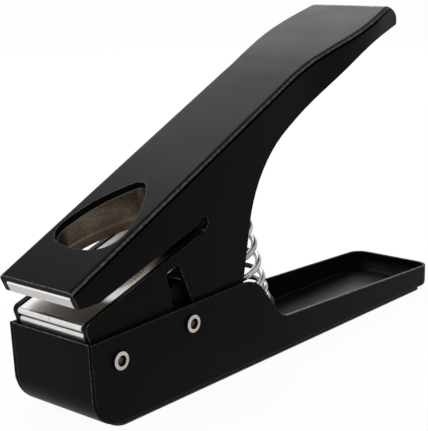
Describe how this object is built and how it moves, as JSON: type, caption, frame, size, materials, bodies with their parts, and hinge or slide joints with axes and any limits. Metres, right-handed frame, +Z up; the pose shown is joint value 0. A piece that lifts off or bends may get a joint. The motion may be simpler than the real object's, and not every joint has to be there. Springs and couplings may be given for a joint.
{
  "type": "guitar pick punch",
  "caption": "Hand lever punch on a folded steel base: sprung channel head with a slanted card slot, pick-shaped die window and sliding punch, and a low catch tray behind.",
  "frame": {"origin": "on the base pad's underside, 93 mm behind the base's front wall and at half its width", "axes": "+Z up from the table, +Y from the nose towards the catch tray, +X across to the side of the socket screws"},
  "size_m": [0.039, 0.1918, 0.1147],
  "materials": {
    "black_steel": "semi-gloss black powder coat",
    "zinc": "bright zinc plate",
    "die_nickel": "nickel-plated tool steel",
    "spring_chrome": "plated spring wire",
    "pin_nickel": "bright nickel",
    "nylon": "natural nylon",
    "black_nylon": "black nylon",
    "pad": "black rubber sheet"
  },
  "bodies": {
    "base": {"base_tub": "black_steel", "base_pad": "pad", "pivot_barrel": "pin_nickel", "pivot_screw": "pin_nickel", "drive_barrel": "pin_nickel", "drive_screw": "pin_nickel", "pivot_washer_near": "nylon", "pivot_washer_far": "nylon", "drive_bush_near": "nylon", "drive_bush_far": "nylon", "drive_sleeve": "zinc", "return_spring": "spring_chrome", "spring_foot": "black_nylon"},
    "head": {"head_shell": "black_steel", "die_block": "die_nickel", "guide_plate_upper": "zinc", "guide_plate_lower": "zinc", "guide_rivet_1": "zinc", "guide_rivet_2": "zinc", "guide_rivet_3": "zinc", "guide_rivet_4": "zinc", "pivot_sleeve": "zinc", "spring_cup": "black_nylon"},
    "punch": {"pick_punch": "die_nickel", "punch_carrier": "zinc", "carrier_screw_1": "zinc", "carrier_screw_2": "zinc"}
  },
  "joints": [
    {"name": "handle_swing", "type": "hinge", "parent": "base", "child": "head", "pos_m": [0, -0.082, 0.0209], "axis": [-1, 0, 0], "range_deg": [0, 9.5], "stiffness_Nm_per_rad": 4, "springref_deg": -14.32, "deforming": ["return_spring"]},
    {"name": "punch_slide", "type": "slide", "parent": "head", "child": "punch", "axis": [0, -0.3123, 0.95], "range_m": [0, 0.0053]}
  ],
  "couplings": [
    {"joint": "punch_slide", "follows": "handle_swing", "m_per_rad": 0.0313}
  ]
}
